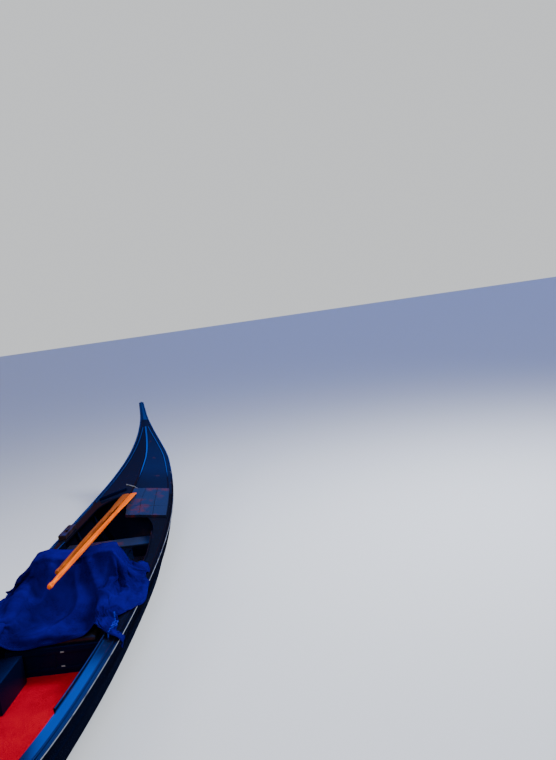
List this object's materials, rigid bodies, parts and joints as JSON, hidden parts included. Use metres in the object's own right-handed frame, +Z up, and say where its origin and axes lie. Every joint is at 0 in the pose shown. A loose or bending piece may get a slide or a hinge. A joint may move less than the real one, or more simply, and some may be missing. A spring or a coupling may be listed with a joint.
{
  "type": "gondola boat",
  "caption": "Long narrow flat-bottomed rowing boat with decked ends, iron bow comb, covered passenger seats, red carpet and stowed oars.",
  "frame": {"origin": "on the underside of the flat bottom, halfway along the boat, on the straight line from stern to bow", "axes": "+X towards the bow, +Y to port, +Z up; the waterline is at Z = 0.17"},
  "size_m": [10.8625, 1.4182, 1.6724],
  "materials": {
    "hull_lacquer": "gloss black paint",
    "deck_lacquer": "gloss black paint, worn",
    "inside_paint": "dull black paint",
    "floor_board": "dull brown paint",
    "rowlock_wood": "oiled",
    "iron": "polished",
    "seat_leather": "satin",
    "red_carpet": "short pile",
    "blue_cover": "coated cloth",
    "oar_varnish": "gloss varnish"
  },
  "bodies": {
    "root": {"bottom_planking": "hull_lacquer", "port_side_planking": "hull_lacquer", "starboard_side_planking": "hull_lacquer", "stern_post": "hull_lacquer", "stem_post": "hull_lacquer", "frames": "inside_paint", "stern_floor": "floor_board", "passenger_floor": "floor_board", "bow_floor": "floor_board", "stern_deck": "deck_lacquer", "foredeck": "deck_lacquer", "port_side_deck": "deck_lacquer", "starboard_side_deck": "deck_lacquer", "stern_bulkhead": "inside_paint", "bow_bulkhead": "deck_lacquer", "locker_front": "inside_paint", "locker_side": "inside_paint", "stern_platform": "deck_lacquer", "footrest": "deck_lacquer", "port_gunwale_rail": "hull_lacquer", "starboard_gunwale_rail": "hull_lacquer", "port_rub_strake": "hull_lacquer", "starboard_rub_strake": "hull_lacquer", "port_coaming": "deck_lacquer", "starboard_coaming": "deck_lacquer", "port_lining": "inside_paint", "starboard_lining": "inside_paint", "stern_thwart": "deck_lacquer", "bow_thwart": "deck_lacquer", "stern_rowlock_block": "rowlock_wood", "bow_rowlock_block": "rowlock_wood", "bow_iron": "iron", "stern_iron": "iron", "main_seat_base": "deck_lacquer", "main_seat_back": "deck_lacquer", "main_seat_cushion": "seat_leather", "port_armrest": "deck_lacquer", "starboard_armrest": "deck_lacquer", "side_seat": "deck_lacquer", "carpet": "red_carpet", "cover": "blue_cover", "oar_1": "oar_varnish", "oar_2": "oar_varnish"}
  },
  "joints": []
}
